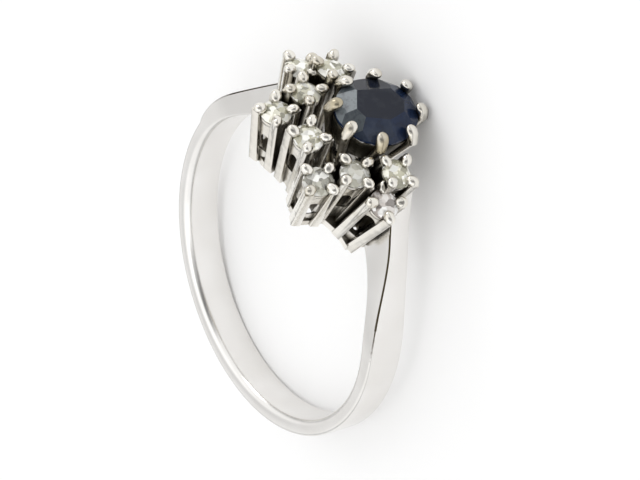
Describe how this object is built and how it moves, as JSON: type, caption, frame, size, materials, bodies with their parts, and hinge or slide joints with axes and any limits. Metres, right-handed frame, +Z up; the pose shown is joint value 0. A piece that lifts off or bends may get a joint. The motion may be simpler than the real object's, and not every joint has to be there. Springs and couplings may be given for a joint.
{
  "type": "sapphire and diamond ring",
  "caption": "White gold finger ring: an oval sapphire in a claw setting with a fan of small round diamonds in square claw baskets on one side, lying on its side.",
  "frame": {"origin": "middle of the finger hole, on its axis, half way along the band's width", "axes": "the ring lies on its side: -Y towards the head with the stones, +Y towards the plain end of the band, +Z up, 5.9 degrees from the finger hole's axis, X across the ring"},
  "size_m": [0.0188, 0.0241, 0.0083],
  "materials": {
    "white_gold": "polished white gold",
    "sapphire": "faceted, very dark blue",
    "diamond": "faceted, faintly yellow"
  },
  "bodies": {
    "root": {"ring": "white_gold", "sapphire": "sapphire", "diamond_1": "diamond", "diamond_2": "diamond", "diamond_3": "diamond", "diamond_4": "diamond", "diamond_5": "diamond", "diamond_6": "diamond", "diamond_7": "diamond", "diamond_8": "diamond", "diamond_9": "diamond"}
  },
  "joints": []
}
